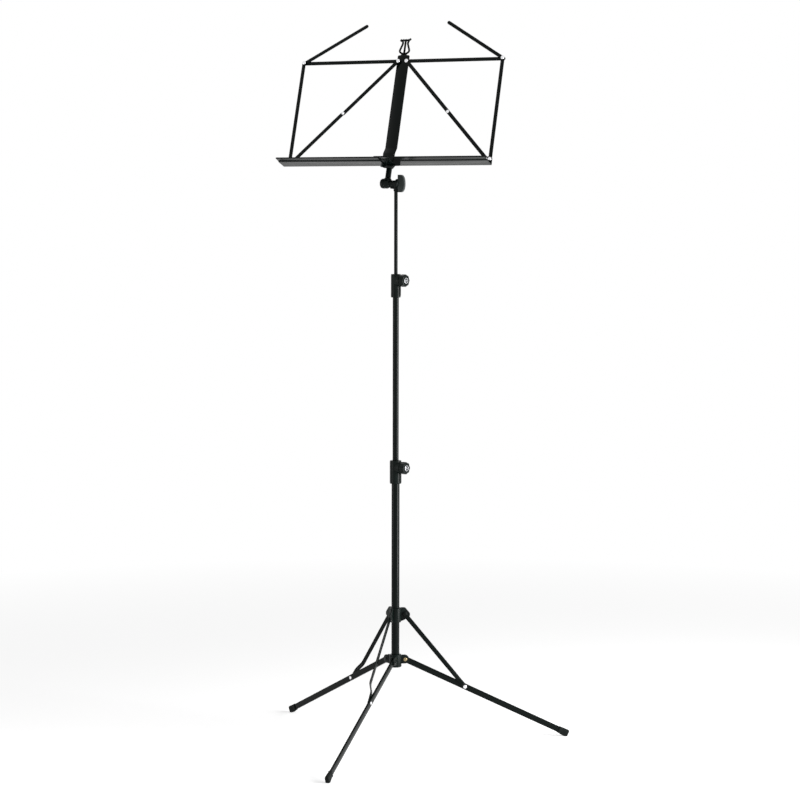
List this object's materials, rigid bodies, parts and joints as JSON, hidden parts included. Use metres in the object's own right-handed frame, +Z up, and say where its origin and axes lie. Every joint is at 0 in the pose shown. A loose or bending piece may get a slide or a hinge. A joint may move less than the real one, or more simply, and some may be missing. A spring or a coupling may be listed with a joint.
{
  "type": "music stand",
  "caption": "Folding music stand: tripod base with sliding collar, telescoping column with clamp knobs, and a tilting sheet-steel desk with page arms and a lyre finial.",
  "frame": {"origin": "on the floor, under the middle of the whole stand", "axes": "+Z up along the column, -Y towards the player, +X to the player's right"},
  "size_m": [0.6224, 0.6456, 1.5105],
  "materials": {
    "black_steel": "black semi-gloss powder coat",
    "black_plastic": "moulded black plastic, satin",
    "cap_rubber": "matt black rubber",
    "nickel_pin": "bright nickel plate",
    "brass_pin": "worn brass plate"
  },
  "bodies": {
    "base": {"hub": "black_plastic", "lower_tube": "black_steel", "lower_clamp": "black_plastic", "front_hub_pin": "black_steel", "right_hub_pin": "brass_pin", "left_hub_pin": "black_steel"},
    "collar": {"collar": "black_plastic", "front_collar_pin": "black_steel", "right_collar_pin": "black_steel", "left_collar_pin": "black_steel"},
    "front_leg": {"front_leg": "black_steel", "front_foot_cap": "cap_rubber"},
    "front_strut": {"front_strut": "black_steel", "front_leg_pin": "nickel_pin"},
    "right_leg": {"right_leg": "black_steel", "right_foot_cap": "cap_rubber"},
    "right_strut": {"right_strut": "black_steel", "right_leg_pin": "nickel_pin"},
    "left_leg": {"left_leg": "black_steel", "left_foot_cap": "cap_rubber"},
    "left_strut": {"left_strut": "black_steel", "left_leg_pin": "nickel_pin"},
    "lower_knob": {"lower_clamp_knob": "black_plastic", "lower_clamp_screw": "nickel_pin"},
    "middle_section": {"middle_tube": "black_steel", "upper_clamp": "black_plastic"},
    "upper_knob": {"upper_clamp_knob": "black_plastic", "upper_clamp_screw": "nickel_pin"},
    "upper_section": {"upper_rod": "black_steel", "tilt_barrel": "black_steel", "tilt_bolt": "nickel_pin"},
    "tilt_knob": {"tilt_wing_knob": "black_plastic"},
    "desk": {"desk_shaft": "black_steel", "desk_bracket": "black_steel", "centre_plate": "black_steel", "left_top_rivet": "nickel_pin", "right_top_rivet": "nickel_pin", "left_tray_pivot": "black_steel", "right_tray_pivot": "black_steel"},
    "left_tray": {"left_tray": "black_steel", "left_tray_rivet": "nickel_pin", "left_small_rivet": "nickel_pin"},
    "left_upper_bar": {"left_upper_bar": "black_steel", "left_corner_rivet": "nickel_pin"},
    "left_outer_bar": {"left_outer_bar": "black_steel"},
    "left_upper_diagonal": {"left_upper_diagonal": "black_steel"},
    "left_lower_diagonal": {"left_lower_diagonal": "black_steel", "left_middle_rivet": "nickel_pin"},
    "left_page_arm": {"left_page_arm": "black_steel"},
    "right_tray": {"right_tray": "black_steel", "right_tray_rivet": "nickel_pin", "right_small_rivet": "nickel_pin"},
    "right_upper_bar": {"right_upper_bar": "black_steel", "right_corner_rivet": "nickel_pin"},
    "right_outer_bar": {"right_outer_bar": "black_steel"},
    "right_upper_diagonal": {"right_upper_diagonal": "black_steel"},
    "right_lower_diagonal": {"right_lower_diagonal": "black_steel", "right_middle_rivet": "nickel_pin"},
    "right_page_arm": {"right_page_arm": "black_steel"}
  },
  "joints": [
    {"name": "front_leg_fold", "type": "hinge", "parent": "base", "child": "front_leg", "pos_m": [-0.0672, 0.00942, 0.176], "axis": [-0.9298, 0.3681, 0], "range_deg": [0, 115.9]},
    {"name": "right_leg_fold", "type": "hinge", "parent": "base", "child": "right_leg", "pos_m": [-0.0391, 0.03169, 0.176], "axis": [0.1461, -0.9893, 0], "range_deg": [0, 115.95]},
    {"name": "left_leg_fold", "type": "hinge", "parent": "base", "child": "left_leg", "pos_m": [-0.07243, 0.04489, 0.176], "axis": [0.7837, 0.6211, 0], "range_deg": [0, 115.95]},
    {"name": "collar_slide", "type": "slide", "parent": "base", "child": "collar", "axis": [0, 0, 1], "range_m": [0, 0.2509]},
    {"name": "front_strut_swing", "type": "hinge", "parent": "collar", "child": "front_strut", "pos_m": [-0.06668, 0.01072, 0.2726], "axis": [0.9298, -0.3681, 0], "range_deg": [0, 38.9]},
    {"name": "right_strut_swing", "type": "hinge", "parent": "collar", "child": "right_strut", "pos_m": [-0.04048, 0.03149, 0.2726], "axis": [-0.1461, 0.9893, 0], "range_deg": [0, 38.9]},
    {"name": "left_strut_swing", "type": "hinge", "parent": "collar", "child": "left_strut", "pos_m": [-0.07157, 0.04379, 0.2726], "axis": [-0.7837, -0.6211, 0], "range_deg": [0, 38.9]},
    {"name": "middle_tube_slide", "type": "slide", "parent": "base", "child": "middle_section", "axis": [0, 0, 1], "range_m": [-0.335, 0]},
    {"name": "upper_rod_slide", "type": "slide", "parent": "middle_section", "child": "upper_section", "axis": [0, 0, 1], "range_m": [-0.165, 0]},
    {"name": "lower_clamp_screw_turn", "type": "hinge", "parent": "base", "child": "lower_knob", "pos_m": [-0.05958, 0.02867, 0.5821], "axis": [0.7986, -0.6018, 0], "range_deg": [0, 540]},
    {"name": "upper_clamp_screw_turn", "type": "hinge", "parent": "middle_section", "child": "upper_knob", "pos_m": [-0.05958, 0.02867, 0.9718], "axis": [0.7986, -0.6018, 0], "range_deg": [0, 540]},
    {"name": "desk_tilt", "type": "hinge", "parent": "upper_section", "child": "desk", "pos_m": [-0.07767, 0.03621, 1.1717], "axis": [0.9229, -0.3851, 0], "range_deg": [-70, 19]},
    {"name": "tilt_knob_turn", "type": "hinge", "parent": "upper_section", "child": "tilt_knob", "pos_m": [-0.07767, 0.03621, 1.1717], "axis": [0.9229, -0.3851, 0], "range_deg": [-540, 0]},
    {"name": "left_tray_fold", "type": "hinge", "parent": "desk", "child": "left_tray", "pos_m": [-0.08027, 0.05411, 1.21628], "axis": [0.3637, 0.8716, -0.3287], "range_deg": [0, 90]},
    {"name": "left_upper_bar_fold", "type": "hinge", "parent": "desk", "child": "left_upper_bar", "pos_m": [-0.05222, 0.12134, 1.42556], "axis": [0.3637, 0.8716, -0.3287], "range_deg": [0, 90.1]},
    {"name": "left_outer_bar_fold", "type": "hinge", "parent": "left_upper_bar", "child": "left_outer_bar", "pos_m": [-0.25092, 0.20425, 1.42556], "axis": [0.3637, 0.8716, -0.3287], "range_deg": [-90.1, 0]},
    {"name": "left_upper_diagonal_fold", "type": "hinge", "parent": "desk", "child": "left_upper_diagonal", "pos_m": [-0.05222, 0.12134, 1.42556], "axis": [0.3637, 0.8716, -0.3287], "range_deg": [-43.33, 0]},
    {"name": "left_lower_diagonal_fold", "type": "hinge", "parent": "left_tray", "child": "left_lower_diagonal", "pos_m": [-0.27251, 0.13433, 1.21628], "axis": [0.3637, 0.8716, -0.3287], "range_deg": [0, 46.87]},
    {"name": "left_page_arm_swing", "type": "hinge", "parent": "left_upper_bar", "child": "left_page_arm", "pos_m": [-0.25092, 0.20425, 1.42556], "axis": [0.3637, 0.8716, -0.3287], "range_deg": [-60, 30]},
    {"name": "right_tray_fold", "type": "hinge", "parent": "desk", "child": "right_tray", "pos_m": [-0.06311, 0.04695, 1.21628], "axis": [-0.3637, -0.8716, 0.3287], "range_deg": [0, 90]},
    {"name": "right_upper_bar_fold", "type": "hinge", "parent": "desk", "child": "right_upper_bar", "pos_m": [-0.03506, 0.11417, 1.42556], "axis": [-0.3637, -0.8716, 0.3287], "range_deg": [0, 90.1]},
    {"name": "right_outer_bar_fold", "type": "hinge", "parent": "right_upper_bar", "child": "right_outer_bar", "pos_m": [0.16364, 0.03126, 1.42556], "axis": [-0.3637, -0.8716, 0.3287], "range_deg": [-90.1, 0]},
    {"name": "right_upper_diagonal_fold", "type": "hinge", "parent": "desk", "child": "right_upper_diagonal", "pos_m": [-0.03506, 0.11417, 1.42556], "axis": [-0.3637, -0.8716, 0.3287], "range_deg": [-43.33, 0]},
    {"name": "right_lower_diagonal_fold", "type": "hinge", "parent": "right_tray", "child": "right_lower_diagonal", "pos_m": [0.12913, -0.03327, 1.21628], "axis": [-0.3637, -0.8716, 0.3287], "range_deg": [0, 46.87]},
    {"name": "right_page_arm_swing", "type": "hinge", "parent": "right_upper_bar", "child": "right_page_arm", "pos_m": [0.16364, 0.03126, 1.42556], "axis": [-0.3637, -0.8716, 0.3287], "range_deg": [-60, 30]}
  ],
  "couplings": [
    {"joint": "right_leg_fold", "follows": "front_leg_fold", "ratio": 1},
    {"joint": "left_leg_fold", "follows": "front_leg_fold", "ratio": 1},
    {"joint": "collar_slide", "follows": "front_leg_fold", "m_per_rad": 0.12393},
    {"joint": "front_strut_swing", "follows": "front_leg_fold", "ratio": 0.33471},
    {"joint": "right_strut_swing", "follows": "front_leg_fold", "ratio": 0.33471},
    {"joint": "left_strut_swing", "follows": "front_leg_fold", "ratio": 0.33471},
    {"joint": "left_upper_bar_fold", "follows": "left_tray_fold", "ratio": 1},
    {"joint": "left_outer_bar_fold", "follows": "left_tray_fold", "ratio": -1},
    {"joint": "left_upper_diagonal_fold", "follows": "left_tray_fold", "ratio": -0.48031},
    {"joint": "left_lower_diagonal_fold", "follows": "left_tray_fold", "ratio": 0.51969},
    {"joint": "right_upper_bar_fold", "follows": "right_tray_fold", "ratio": 1},
    {"joint": "right_outer_bar_fold", "follows": "right_tray_fold", "ratio": -1},
    {"joint": "right_upper_diagonal_fold", "follows": "right_tray_fold", "ratio": -0.48031},
    {"joint": "right_lower_diagonal_fold", "follows": "right_tray_fold", "ratio": 0.51969}
  ]
}
